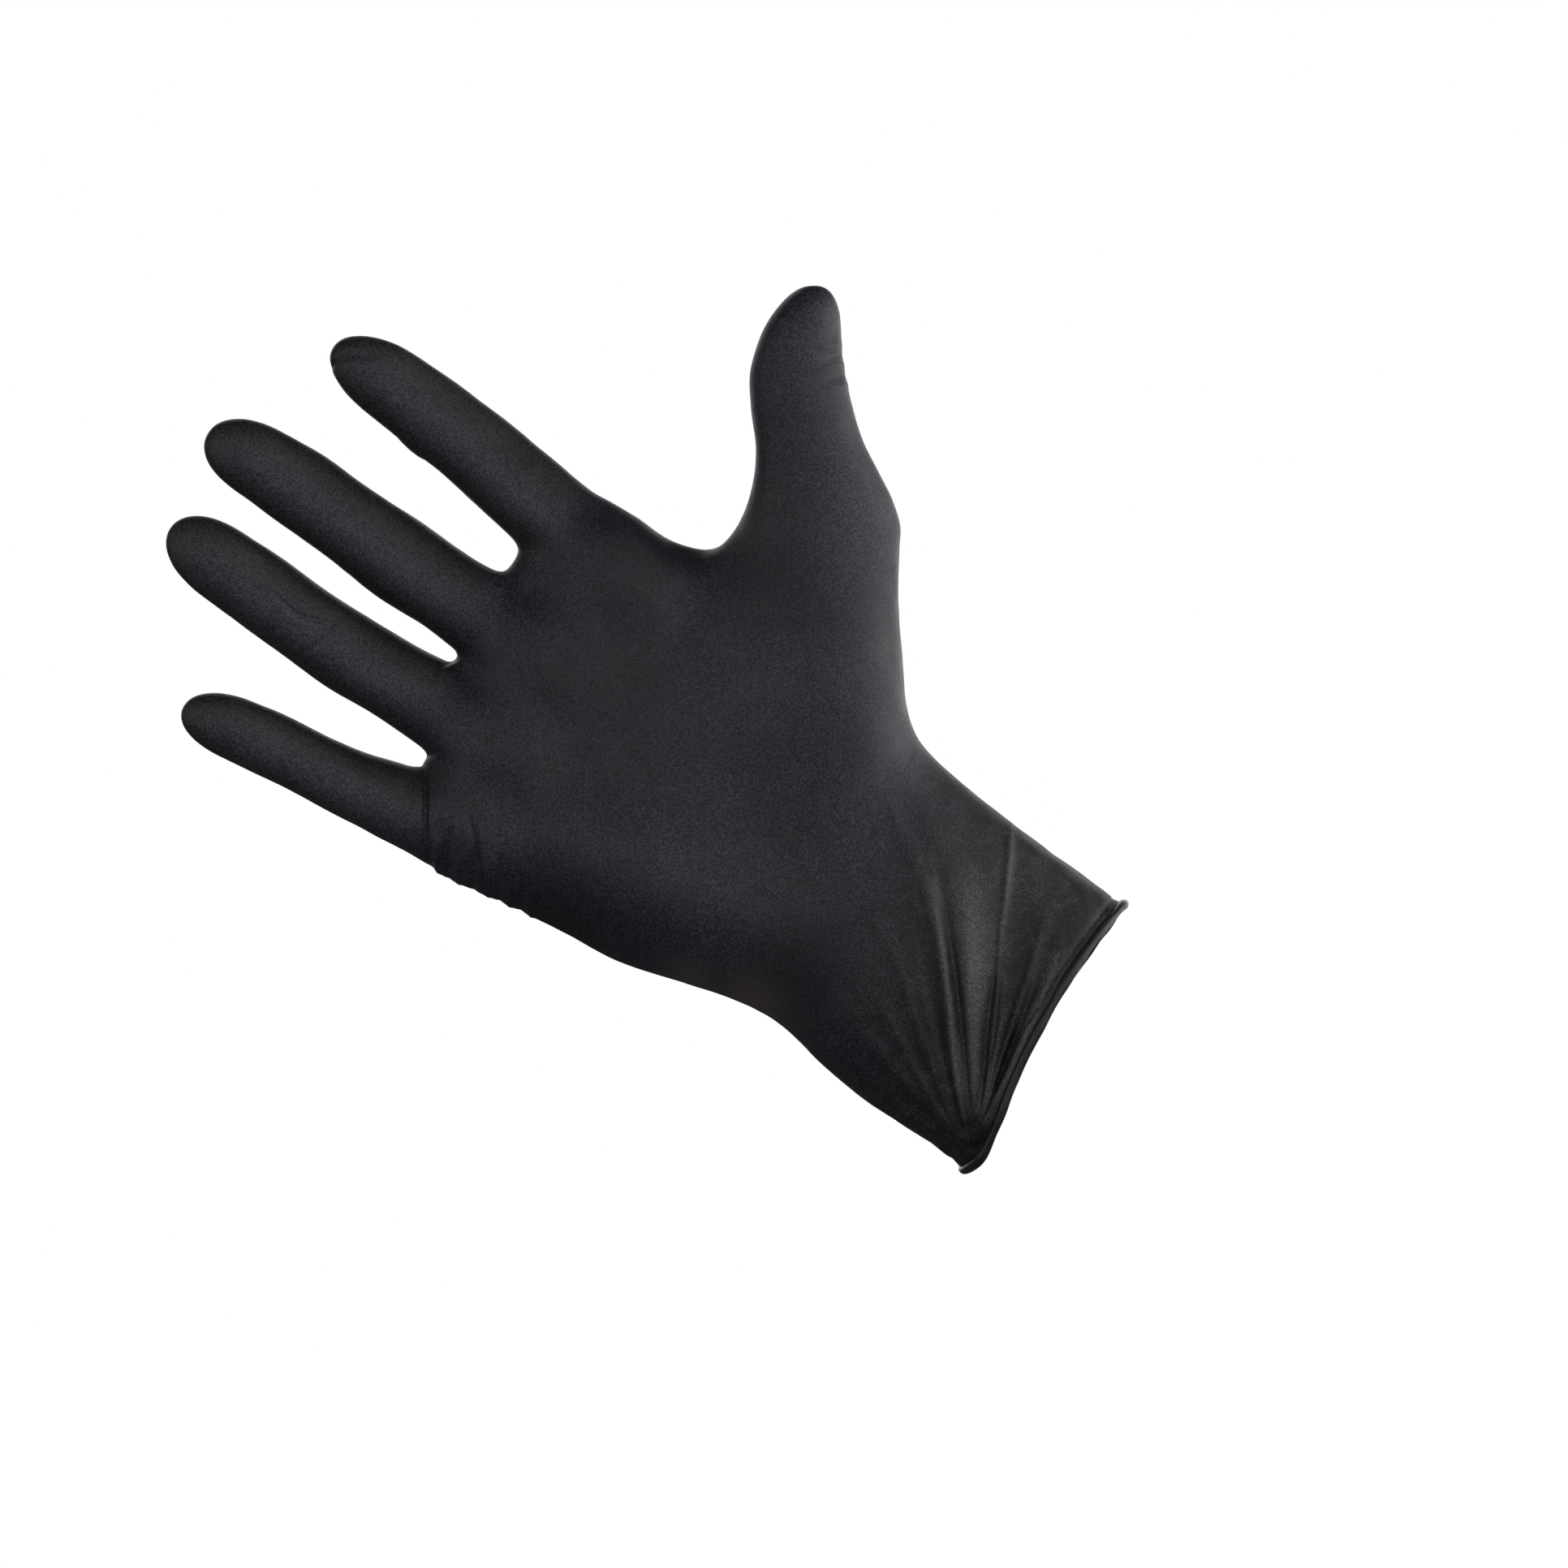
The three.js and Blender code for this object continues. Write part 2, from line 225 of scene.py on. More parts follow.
class Field:
    """A signed distance field on a regular grid, negative inside the glove."""

    def __init__(self, low, high):
        self.low = np.array(low, float)
        count = np.ceil((np.array(high) - self.low) / VOXEL).astype(int)
        self.value = np.full(count, FAR, np.float32)

    def window(self, low, high):
        """The grid's part between two corners: its slices and the places of its cells."""
        first = np.maximum(np.floor((np.array(low) - self.low) / VOXEL).astype(int), 0)
        last = np.minimum(np.ceil((np.array(high) - self.low) / VOXEL).astype(int), self.value.shape)
        axes = [self.low[i] + VOXEL * np.arange(first[i], last[i]) for i in range(3)]
        return tuple(slice(a, b) for a, b in zip(first, last)), np.meshgrid(*axes, indexing="ij")

    def join(self, window, ring, softness):
        """Adds a shape, given as a field that is 1 on its surface, with a soft fillet."""
        slope = np.sqrt(sum(g * g for g in np.gradient(ring, VOXEL)))
        added = np.clip((ring - 1) / np.maximum(slope, 0.02), -FAR, FAR)
        here = self.value[window]
        mix = np.maximum(softness - np.abs(added - here), 0) / softness
        self.value[window] = np.minimum(added, here) - mix * mix * softness / 4

    def at(self, points):
        """The field and its slope at points, between the cells by linear steps."""
        place = (points - self.low) / VOXEL
        cell = np.clip(np.floor(place).astype(int), 0, np.array(self.value.shape) - 2)
        share = place - cell
        corner = np.empty((2, 2, 2, len(points)))
        for i in (0, 1):
            for j in (0, 1):
                for k in (0, 1):
                    corner[i, j, k] = self.value[cell[:, 0] + i, cell[:, 1] + j, cell[:, 2] + k]
        x, y, z = share.T
        plane = between(corner, x)
        line = between(plane, y)
        dx = between(between(corner[1] - corner[0], y), z)
        dy = between(plane[1] - plane[0], z)
        slope = np.stack([dx, dy, line[1] - line[0]], axis=1) / VOXEL
        return between(line, z), slope

    def surface(self):
        """The zero surface as points and quads, in millimetres."""
        grid = openvdb.FloatGrid(FAR)
        grid.copyFromArray(self.value)
        points, quads = grid.convertToQuads(0.0)
        return points.astype(float) * VOXEL + self.low, quads.astype(int)


def through(stations, place):
    """Smooth curves through the stations' columns, at each place. Column 0 is the place."""
    table = np.array(stations, float)
    knots, columns = table[:, 0], table[:, 1:]
    slopes = np.gradient(columns, knots, axis=0)
    place = np.clip(place, knots[0], knots[-1])
    span = np.clip(np.searchsorted(knots, place, side="right") - 1, 0, len(knots) - 2)
    width = (knots[span + 1] - knots[span])[..., None]
    t = (place - knots[span])[..., None] / width
    start, end = columns[span], columns[span + 1]
    leave, arrive = slopes[span] * width, slopes[span + 1] * width
    curve = (2 * t**3 - 3 * t**2 + 1) * start + (t**3 - 2 * t**2 + t) * leave
    return curve + (3 * t**2 - 2 * t**3) * end + (t**3 - t**2) * arrive


def tube(across, deep, along, stations, square, lean=0.0):
    """A field that is 1 on the wall of a tube with these sections. Lean turns its crest inwards."""
    left, right, front, back = np.moveaxis(through(stations, along), -1, 0)
    off = deep - (front + back) / 2
    u = np.abs(across - lean * off - (left + right) / 2) / ((right - left) / 2)
    v = np.abs(off) / ((back - front) / 2)
    return (u**square + v**square) ** (1 / square)


def capped(ring, height, top, cap, square):
    """The tube closed by a round cap of that height."""
    over = np.maximum(height - (top - cap), 0) / cap
    return (ring**square + over**square) ** (1 / square)


def mound(places, centre, half, lean):
    """A field that is 1 on an ellipsoid that leans towards +X."""
    turn = math.radians(lean)
    x, y, z = (p - c for p, c in zip(places, centre))
    u = x * math.cos(turn) - z * math.sin(turn)
    w = x * math.sin(turn) + z * math.cos(turn)
    return np.sqrt((u / half[0]) ** 2 + (y / half[1]) ** 2 + (w / half[2]) ** 2)


def footed(ring, along, start, length):
    """The tube closed at its lower end, which is inside the palm."""
    foot = np.maximum(start + length - along, 0) / length
    return np.sqrt(ring**2 + foot**2)


def finger_shape(field, name):
    """A finger: its part of the grid, and its ring there."""
    stations = np.array(FINGER_SECTIONS[name])
    low = np.subtract((stations[:, 1].min(), 0, stations[0, 0]), FINGER_MARGINS[0])
    high = np.add((stations[:, 2].max(), 0, stations[-1, 0]), FINGER_MARGINS[1])
    window, (x, y, z) = field.window(low, high)
    ring = tube(x, y, z, stations, FINGER_SQUARE)
    ring = capped(ring, z, top_of(name + "_tip"), FINGER_CAP[name], FINGER_END_SQUARE)
    return window, footed(ring, z, stations[0, 0], FINGER_FOOT)


def thumb_shape(field):
    """The thumb, along its own axes."""
    root = pivot("thumb_swing")
    window, (x, y, z) = field.window(*THUMB_WINDOW)
    along = (x - root[0]) * THUMB_ALONG[0] + (z - root[2]) * THUMB_ALONG[2]
    across = (x - root[0]) * THUMB_ACROSS[0] + (z - root[2]) * THUMB_ACROSS[2]
    ring = tube(across, y, along, THUMB_SECTIONS, THUMB_SQUARE, THUMB_LEAN)
    ring = capped(ring, along, THUMB_SECTIONS[-1][0], THUMB_CAP, THUMB_END_SQUARE)
    return window, footed(ring, along, THUMB_SECTIONS[0][0], THUMB_FOOT)


def hand_field():
    """The whole hand as one field."""
    field = Field(*GRID)
    window, (x, y, z) = field.window(*PALM_WINDOW)
    palm = tube(x, y, z, SLEEVE, PALM_SQUARE)
    palm = capped(palm, z - PALM_SLOPE * x, PALM_TOP, PALM_END, PALM_END_SQUARE)
    field.join(window, palm, PALM_SOFT)
    for name in FINGERS:
        field.join(*finger_shape(field, name), FINGER_SOFT)
    field.join(*thumb_shape(field), THUMB_SOFT)
    for centre, half, lean, softness in [*MOUNDS.values(), THUMB_WEB, *WEBS.values()]:
        reach = max(half) + softness + MOUND_MARGIN
        window, places = field.window([c - reach for c in centre], [c + reach for c in centre])
        field.join(window, mound(places, centre, half, lean), softness)
    return field


# --- From the field to a surface ---------------------------------------------------------------


def edges_of(faces):
    """Each edge of the faces once, and how many faces use it. A triangle repeats its last corner."""
    pairs = np.concatenate([faces[:, [i, (i + 1) % 4]] for i in range(4)])
    pairs = np.sort(pairs[pairs[:, 0] != pairs[:, 1]], axis=1)
    return np.unique(pairs, axis=0, return_counts=True)


SMOOTHING = 0.6  # how far a point moves towards the middle of its neighbours in one round


def relaxed(points, faces, field, rounds):
    """Evens out the faces, and puts each point back on the field's surface."""
    edges, _ = edges_of(faces)
    near = np.bincount(edges.ravel(), minlength=len(points))[:, None]
    for _ in range(rounds):
        total = np.zeros_like(points)
        for axis in range(3):
            total[:, axis] = np.bincount(edges[:, 0], points[edges[:, 1], axis], len(points))
            total[:, axis] += np.bincount(edges[:, 1], points[edges[:, 0], axis], len(points))
        points = points * (1 - SMOOTHING) + total / near * SMOOTHING
        value, slope = field.at(points)
        size = np.maximum((slope**2).sum(1), 0.05)
        points -= slope * (value / size)[:, None]
    return points


def refined(points, faces, chosen):
    """Splits the chosen quads in four. Their neighbours become fans of triangles, so nothing gapes."""
    edges = np.sort(faces[:, [0, 1, 1, 2, 2, 3, 3, 0]].reshape(-1, 4, 2), axis=2)
    key = edges[..., 0] * len(points) + edges[..., 1]
    split = np.unique(key[chosen])
    middle = (points[split // len(points)] + points[split % len(points)]) / 2
    place = np.minimum(np.searchsorted(split, key), len(split) - 1)
    is_split = split[place] == key
    halfway = place + len(points)
    touched = is_split.any(axis=1)
    centre = np.full(len(faces), -1)
    centre[touched] = len(points) + len(split) + np.arange(touched.sum())
    points = np.concatenate([points, middle, points[faces[touched]].mean(axis=1)])
    made = [faces[~touched]]
    for side in range(4):
        a, b = faces[:, side], faces[:, (side + 1) % 4]
        after, before = halfway[:, side], halfway[:, side - 1]
        half = touched & ~chosen & is_split[:, side]
        whole = touched & ~chosen & ~is_split[:, side]
        for corners, rows in (
            ((a, after, centre, before), chosen),
            ((centre, a, after, after), half),
            ((centre, after, b, b), half),
            ((centre, a, b, b), whole),
        ):
            made.append(np.stack(corners, axis=1)[rows])
    return points, np.concatenate(made)


def normals_of(points, faces):
    """Smooth normals, each face counting by its area."""
    a, b, c, d = (points[faces[:, i]] for i in range(4))
    flat = np.cross(c - a, d - b)
    total = np.zeros_like(points)
    for column in range(4):
        for axis in range(3):
            total[:, axis] += np.bincount(faces[:, column], flat[:, axis], len(points))
    return total / np.maximum(np.linalg.norm(total, axis=1), 1e-12)[:, None]


def compact(points, faces):
    """Only the points that the faces use."""
    used = np.unique(faces)
    index = np.full(len(points), -1)
    index[used] = np.arange(len(used))
    return used, index[faces]


def opened(points, faces, height):
    """Cuts off what is below the rim, and moves the points next to the cut onto it."""
    faces = faces[(points[faces][:, :, 2] > height - VOXEL / 4).all(axis=1)]
    used, faces = compact(points, faces)
    points = points[used]
    edges, count = edges_of(faces)
    rim = np.unique(edges[count == 1])
    points[rim, 2] = height
    return points, faces


# --- Folds and creases -------------------------------------------------------------------------

# Where a fold is: on the palm side, on the back, all round, or on the palm side and the hand's edge
PALM, BACK, ROUND, EDGE = "palm", "back", "round", "edge"
# Each side at the silhouette, and how it changes with the normal's y, before it is clipped to 0..1
SIDES = {PALM: (0.35, -2), BACK: (0.35, 2), EDGE: (0.9, -2)}

# The cuff has been gripped and pulled at one point of its rim, in the plane of the palm (x, z).
PULL = (-30.5, -1)
PULL_LIFT = 6.0  # how far the film stands off there
PULL_REACH = (24, 34)  # across and along the cuff
PULL_POINTED = 1.8
PULL_SIDEWAYS = 0.25  # of the lift
# How far the rim is moved along the cuff, by x, on the palm side and on the back
RIM_PALM = [
    (-37, -2.5), (-30, -3.8), (-24, -2.6), (-13, 0.4), (4, 3), (21, 3.8), (33, 2.4), (37, 1.4),
]
RIM_BACK = [(-37, -2.5), (-24, -0.5), (0, 0.8), (22, 1), (37, 1.4)]
RIM_TURN = 18  # the depth over which the palm side's line gives way to the back's
RIM_FADE = 38  # height at which the rim's own line no longer tells
GUTTER = (3.0, 0.8, -0.25)  # the hollow above the rolled rim: height, width, depth

# Each fold is its places in the plane of the palm, its side, its height (negative for a crease),
# and its width at the start and at the end. The fan's folds start at the pull, and fade from it.
FAN = [
    # the broad ridge towards the wrist, and the hollow beside it
    ((PULL, (-17, 12.7), (-3, 24.7), (10, 37.1), (24.5, 51.7), (34, 61)), PALM, 4.4, 4.2, 8.5),
    ((PULL, (-12.5, 6.2), (5.5, 15.2), (21.5, 24.2), (37.5, 33.7)), PALM, -2.2, 2.6, 6.0),
    # the low ridge next to the rim
    ((PULL, (-10.5, 2.2), (5.5, 4.7), (21.5, 7.2), (39.5, 9.7)), PALM, 2.4, 2.2, 6.5),
    # the narrow ridges, from the palm's side to the rim's
    ((PULL, (-28.5, 14.7), (-25, 30.7), (-19.5, 48.7)), PALM, 1.1, 1.0, 3.0),
    ((PULL, (-27, 12.5), (-20.5, 27), (-13, 41)), PALM, 1.0, 0.7, 1.8),
    ((PULL, (-25.1, 10.7), (-15, 25.7), (-5.5, 38.7), (2.5, 54.7)), PALM, 1.2, 0.8, 2.4),
    ((PULL, (-22.6, 11.6), (-11.5, 25.6), (-2, 37)), PALM, 0.8, 0.6, 1.3),
    (
        (PULL, (-18.8, 12.4), (-5.3, 24.5), (7.5, 37.1), (15.5, 47.7), (21.5, 58.7), (27, 68)),
        PALM, 2.3, 0.8, 2.0,
    ),
    ((PULL, (-18.5, 9.1), (-5.5, 18.5), (7.5, 27.7), (19.5, 37.2)), PALM, 2.3, 1.0, 3.4),
    (
        (PULL, (-12.5, 7.5), (1.5, 15.3), (12.1, 21.6), (21.4, 26.4), (36.5, 34.7), (42, 37.5)),
        PALM, 1.6, 0.7, 1.0,
    ),
    ((PULL, (-19.5, 2.5), (-11.1, 5.6), (-0.5, 8.9), (11.5, 12.7), (23.5, 16.7)), PALM, 1.9, 0.65, 1.3),
    ((PULL, (-18.5, 1.3), (-5.6, 3.7), (8.3, 7), (18.5, 9.5)), PALM, 1.7, 0.65, 0.9),
    # the creases between them
    ((PULL, (-17.9, 9.9), (-10, 16.7), (2.6, 28.5), (11.5, 37.3), (20.5, 46.7)), PALM, -2.8, 0.85, 1.5),
    ((PULL, (-16.5, 6.3), (-6.3, 12.6), (7.6, 19.3), (23.4, 27.9)), PALM, -1.7, 0.8, 1.3),
    ((PULL, (-17.5, 2.7), (-9.3, 4.6), (6.1, 8.7), (16.4, 11.7)), PALM, -1.6, 0.6, 0.9),
    ((PULL, (-22.5, 11.1), (-10.5, 24.3), (1.5, 36.7), (9.5, 48.7)), PALM, -1.2, 0.8, 1.7),
    # round the edge of the hand to its back
    ((PULL, (-33, 10), (-35, 22), (-36, 36)), ROUND, 1.0, 1.2, 2.6),
    ((PULL, (-35, 4), (-38, 12), (-39, 22)), ROUND, -0.8, 1.0, 2.0),
    (((-36, 1), (-28, 8), (-14, 18), (0, 26)), BACK, 0.9, 1.6, 4.2),
    (((-36, 4), (-28, 16), (-16, 32), (-8, 46)), BACK, 0.8, 1.6, 4.6),
    (((-36, -1), (-24, 4), (-8, 9), (8, 12)), BACK, 0.7, 1.3, 3.4),
]
FAN_START = 0.12  # the share of its length over which a fold of the fan rises
FAN_FADE = (1.5, 1.2)  # how late, and how fast, it fades towards its end
NARROW_LOW = 0.6  # where a fold is narrow it is low too, or its flanks would stand upright
CREASE_ENDS = 0.6  # how blunt the ends of the other folds are
CREST = 1.7  # how round a fold's crest is

# The gathered edge below the little finger: where each ridge or crease starts, how far it runs across
# the palm, and its height
EDGE_FOLDS = [
    (-51.4, 137, 9, 0.7),
    (-50.6, 131.4, 7, 0.55),
    (-49.3, 124, 10, 0.7),
    (-48.8, 118.2, 6, 0.45),
    (-48, 112.6, 8, 0.5),
    (-51, 134, 12, -0.7),
    (-50, 127.6, 10, -0.6),
    (-49, 121, 8, -0.5),
    (-48.4, 115.4, 9, -0.4),
]
# The outer side of the thumb's joint: where each bump and each crease between them starts
THUMB_BUMPS = [(104.4, 130.6), (101.1, 127.2), (97.8, 123.8)]
THUMB_CREASES = [(102.8, 128.9), (99.4, 125.5)]


CREASES = [
    # under the little finger, from its web to the edge of the palm
    (((-31.8, 156), (-34.5, 152), (-38.4, 149.2), (-45.2, 144.4), (-51, 138.6)), EDGE, -1.5, 0.6, 0.9),
    (((-34.5, 139.5), (-38.4, 135), (-42.8, 131), (-48.5, 124)), PALM, -1.0, 0.7, 0.8),
    (((-38, 145), (-43.5, 140.6), (-50.5, 134.6)), PALM, -0.8, 0.7, 0.9),
    *[
        (((x, z), (x + run * 0.4, z + run * 0.26), (x + run, z + run * 0.55)), EDGE, height, 0.7, 1.0)
        for x, z, run, height in EDGE_FOLDS
    ],
    # at the webs
    (((-6.6, 161.5), (-7.9, 163), (-11, 164.4), (-14, 164.6)), PALM, -0.5, 0.7, 0.7),
    (((-31, 157), (-29.5, 155), (-27, 153)), PALM, -0.4, 0.7, 0.8),
    # the ring finger and the index finger
    (((-18.9, 206), (-19.6, 198), (-16.6, 189.6)), PALM, -0.5, 0.6, 0.8),
    (((-26.5, 191.5), (-21.5, 190.2), (-15, 190.6)), PALM, -0.5, 0.6, 0.7),
    (((28.8, 226.5), (31.6, 225.1), (35.5, 223.1), (38.1, 220.3), (39.5, 217)), PALM, -0.7, 0.7, 1.0),
    (((26.2, 203.5), (26.4, 199.5), (26.4, 195)), ROUND, 0.8, 1.5, 1.5),
    *[(((x, z), (x - 2.6, z + 1.8), (x - 4.5, z + 3.6)), ROUND, 0.3, 0.8, 1.2) for x, z in THUMB_BUMPS],
    *[(((x, z), (x - 2.6, z + 1.8), (x - 4.2, z + 3.4)), ROUND, -0.22, 0.7, 1.0) for x, z in THUMB_CREASES],
]
# The wrinkles across the back of a finger joint: half their length, and how many
WRINKLES = {"_middle_fold": (5.6, 3), "_tip_fold": (4.2, 2)}
WRINKLE_STEP = 2.9  # between them
WRINKLE_BOW = 0.6
WRINKLE_HEIGHT, WRINKLE_WIDTH = -0.24, 0.8
WRINKLE_SHIFTS = (0.9, -0.6, 0.3, -1.1, 0.5)  # sideways, so that no two joints wrinkle alike
FINE_HEIGHT = 62  # the film is meshed twice as finely below this, for the folds
FINE_REACH = 2.5  # and this close to a crease
UNEVEN = 0.1  # the film is nowhere quite even
UNEVEN_LOOSE = 1.6  # how much more uneven it is at the rim
WAVE, RIPPLE = 0.11, 0.27  # how many of the waves and the ripples there are in a millimetre


def knuckle_wrinkles():
    """Wrinkles across the back of each finger joint: faint, slanted arcs of uneven length."""
    for number, finger in enumerate(FINGERS):
        for fold, (half, count) in WRINKLES.items():
            x, _, z = pivot(finger + fold)
            for row in range(count):
                off = row - (count - 1) / 2
                shift = WRINKLE_SHIFTS[(number + 2 * row) % len(WRINKLE_SHIFTS)]
                low, bow = z + off * WRINKLE_STEP, off * WRINKLE_BOW
                reach, middle, slant = half * (1 - abs(shift) / 4), x + shift, shift / 3
                path = (
                    (middle - reach, low - slant),
                    (middle - reach / 2, low + bow),
                    (middle + reach / 2, low + bow),
                    (middle + reach, low + slant),
                )
                yield path, BACK, WRINKLE_HEIGHT, WRINKLE_WIDTH, WRINKLE_WIDTH


def nearest_on(path, points, reach):
    """The points close to a path: which they are, how far from it, and how far along it (0 to 1)."""
    knots = np.array(path, float)
    steps = np.linspace(0, len(knots) - 1, 6 * len(knots))
    line = through(np.column_stack([np.arange(len(knots)), knots]), steps)
    span = line[1:] - line[:-1]
    length = np.concatenate([[0], np.cumsum(np.linalg.norm(span, axis=1))])
    flat = points[:, [0, 2]]
    near = np.flatnonzero(((flat > line.min(0) - reach) & (flat < line.max(0) + reach)).all(axis=1))
    best = np.full(len(near), 1e9)
    share = np.zeros(len(near))
    for i, step in enumerate(span):
        offset = flat[near] - line[i]
        t = np.clip(offset @ step / (step @ step), 0, 1)
        gap = np.linalg.norm(offset - t[:, None] * step, axis=1)
        closer = gap < best
        best = np.where(closer, gap, best)
        share = np.where(closer, (length[i] + t * (length[i + 1] - length[i])) / length[-1], share)
    return near, best, share


def eased(share):
    """0..1 with a soft start and a soft end."""
    return share * share * (3 - 2 * share)


def facing(normals, side):
    """1 where the film faces that side, 0 where it faces away, with a soft change between them."""
    if side == ROUND:
        return np.ones(len(normals))
    start, slope = SIDES[side]
    return eased(np.clip(start + slope * normals[:, 1], 0, 1))


def lift_of(points, normals, fold, from_start):
    """How far one fold lifts each point."""
    path, side, height, wide_start, wide_end = fold
    near, gap, share = nearest_on(path, points, 3 * max(wide_start, wide_end))
    width = wide_start + (wide_end - wide_start) * share
    if from_start:
        late, fast = FAN_FADE
        along = np.sin(np.pi / 2 * np.minimum(share / FAN_START, 1))
        along *= np.cos(np.pi / 2 * share**late) ** fast
        along *= (width / wide_end) ** NARROW_LOW
    else:
        along = np.sin(np.pi * np.clip(share, 0.02, 0.98)) ** CREASE_ENDS
    lift = np.zeros(len(points))
    lift[near] = height * along * np.exp(-((gap / width) ** CREST)) * facing(normals[near], side)
    return lift


def gathered(points, normals):
    """The cuff as it is pulled: its rim's line, the lifted point, and the hollow above the rim."""
    x, y, z = points.T
    share = eased(np.clip(0.5 - y / RIM_TURN, 0, 1))
    line = through(RIM_PALM, x)[:, 0] * share + through(RIM_BACK, x)[:, 0] * (1 - share)
    fade = np.clip(1 - z / RIM_FADE, 0, 1) ** 2
    hollow = GUTTER[2] * np.exp(-(((z - GUTTER[0]) / GUTTER[1]) ** 2))
    away = np.hypot((x - PULL[0]) / PULL_REACH[0], (z - PULL[1]) / PULL_REACH[1])
    tent = PULL_LIFT * np.clip(1 - away, 0, 1) ** PULL_POINTED * facing(normals, PALM)
    moved = points + normals * hollow[:, None]
    moved[:, 2] += line * fade
    moved[:, 1] -= tent
    moved[:, 0] -= tent * PULL_SIDEWAYS
    return moved


def unevenness(points):
    """A slow wave in the film, stronger in the loose cuff than over the hand."""
    wave = [noise.noise(Vector(p * WAVE)) + noise.noise(Vector(p * RIPPLE)) / 2 for p in points]
    loose = 1 + UNEVEN_LOOSE * np.clip(1 - points[:, 2] / FINE_HEIGHT, 0, 1)
    return np.array(wave) * UNEVEN * loose


def folded(points, faces):
    """The surface with its folds, creases and wrinkles."""
    normals = normals_of(points, faces)
    points = gathered(points, normals)
    normals = normals_of(points, faces)
    lift = unevenness(points)
    for fold in FAN:
        lift += lift_of(points, normals, fold, True)
    for fold in [*CREASES, *knuckle_wrinkles()]:
        lift += lift_of(points, normals, fold, False)
    return points + normals * lift[:, None]


def needs_detail(points, faces):
    """The faces that are split: those of the cuff, and those next to a narrow crease."""
    centre = points[faces].mean(axis=1)
    fine = centre[:, 2] < FINE_HEIGHT
    for path, *_ in CREASES:
        near, gap, _ = nearest_on(path, centre, FINE_REACH)
        fine[near[gap < FINE_REACH]] = True
    return fine


# --- Materials ---------------------------------------------------------------------------------


class Painter:
    """Short calls for building one material's nodes."""

    def __init__(self, name):
        self.material = bpy.data.materials.new(name)
        self.material.use_nodes = True
        self.nodes = self.material.node_tree.nodes
        self.links = self.material.node_tree.links
        self.shader = self.nodes["Principled BSDF"]
        self.place = self.nodes.new("ShaderNodeTexCoord").outputs["Object"]

    def noise(self, size, detail, rough):
        """Noise whose grains are about this many millimetres wide, from 0 to 1."""
        made = self.nodes.new("ShaderNodeTexNoise")
        made.inputs["Scale"].default_value = 1 / (size * MM)
        made.inputs["Detail"].default_value = detail
        made.inputs["Roughness"].default_value = rough
        self.links.new(self.place, made.inputs["Vector"])
        return made.outputs["Fac"]

    def attribute(self, name):
        """A mark of the mesh, from 0 to 1."""
        made = self.nodes.new("ShaderNodeAttribute")
        made.attribute_name = name
        return made.outputs["Fac"]

    def span(self, value, low, high, out_low=0, out_high=1):
        """Maps low..high onto out_low..out_high."""
        made = self.nodes.new("ShaderNodeMapRange")
        for socket, number in zip(made.inputs[1:5], (low, high, out_low, out_high)):
            socket.default_value = number
        self.links.new(value, made.inputs[0])
        return made.outputs[0]

    def times(self, a, b):
        """The product of two values."""
        made = self.nodes.new("ShaderNodeMath")
        made.operation = "MULTIPLY"
        self.links.new(a, made.inputs[0])
        self.links.new(b, made.inputs[1])
        return made.outputs[0]

    def mix(self, share, a, b):
        """A colour between a and b. Each is a colour or another mix."""
        made = self.nodes.new("ShaderNodeMix")
        made.data_type = "RGBA"
        self.links.new(share, made.inputs["Factor"])
        for socket, colour in zip((made.inputs[6], made.inputs[7]), (a, b)):
            if isinstance(colour, tuple):
                socket.default_value = (*colour, 1)
            else:
                self.links.new(colour, socket)
        return made.outputs[2]

    def bump(self, height, distance, strength, before=None):
        """Relief of that height in millimetres, on top of the one before it."""
        made = self.nodes.new("ShaderNodeBump")
        made.inputs["Distance"].default_value = distance * MM
        made.inputs["Strength"].default_value = strength
        self.links.new(height, made.inputs["Height"])
        if before:
            self.links.new(before, made.inputs["Normal"])
        return made.outputs[0]


# The film's tones. Its grains are dark, with light between them: violet or olive, in two shades each
BLACK = (0.002, 0.0018, 0.003)
VIOLET = ((0.037, 0.033, 0.060), (0.052, 0.047, 0.080))
OLIVE = ((0.034, 0.034, 0.039), (0.048, 0.047, 0.053))
# painted shade: the darker tone laid over the palm's darker spots
PAINTED_SHADE_TONE = (0.010, 0.009, 0.015)
LOOSE_TONE = (0.050, 0.050, 0.054)
BLOTCH_TONE = (0.012, 0.012, 0.013)
# painted shade along the sides of each finger
PAINTED_SIDE_SHADE = (0.034, 0.035, 0.034)
# painted warm reflection of skin at the stretched edges
SKIN_REFLECTION_TONE = (0.112, 0.090, 0.084)
# The grain's light and dark under the painted highlights: over the hand, and in the loose cuff
HIGHLIGHT_GRAIN_LIGHT = ((0.075, 0.072, 0.093), (0.112, 0.111, 0.112))
HIGHLIGHT_GRAIN_DARK = ((0.018, 0.017, 0.024), (0.030, 0.030, 0.030))
FILM_SPECULAR = 0.46
# The sizes of its noises, in millimetres
GRAIN, FLECK, PEEL, BLOTCH, POLISH, PATCH, CLOUD = 0.46, 0.8, 2.2, 4.5, 6, 11, 19


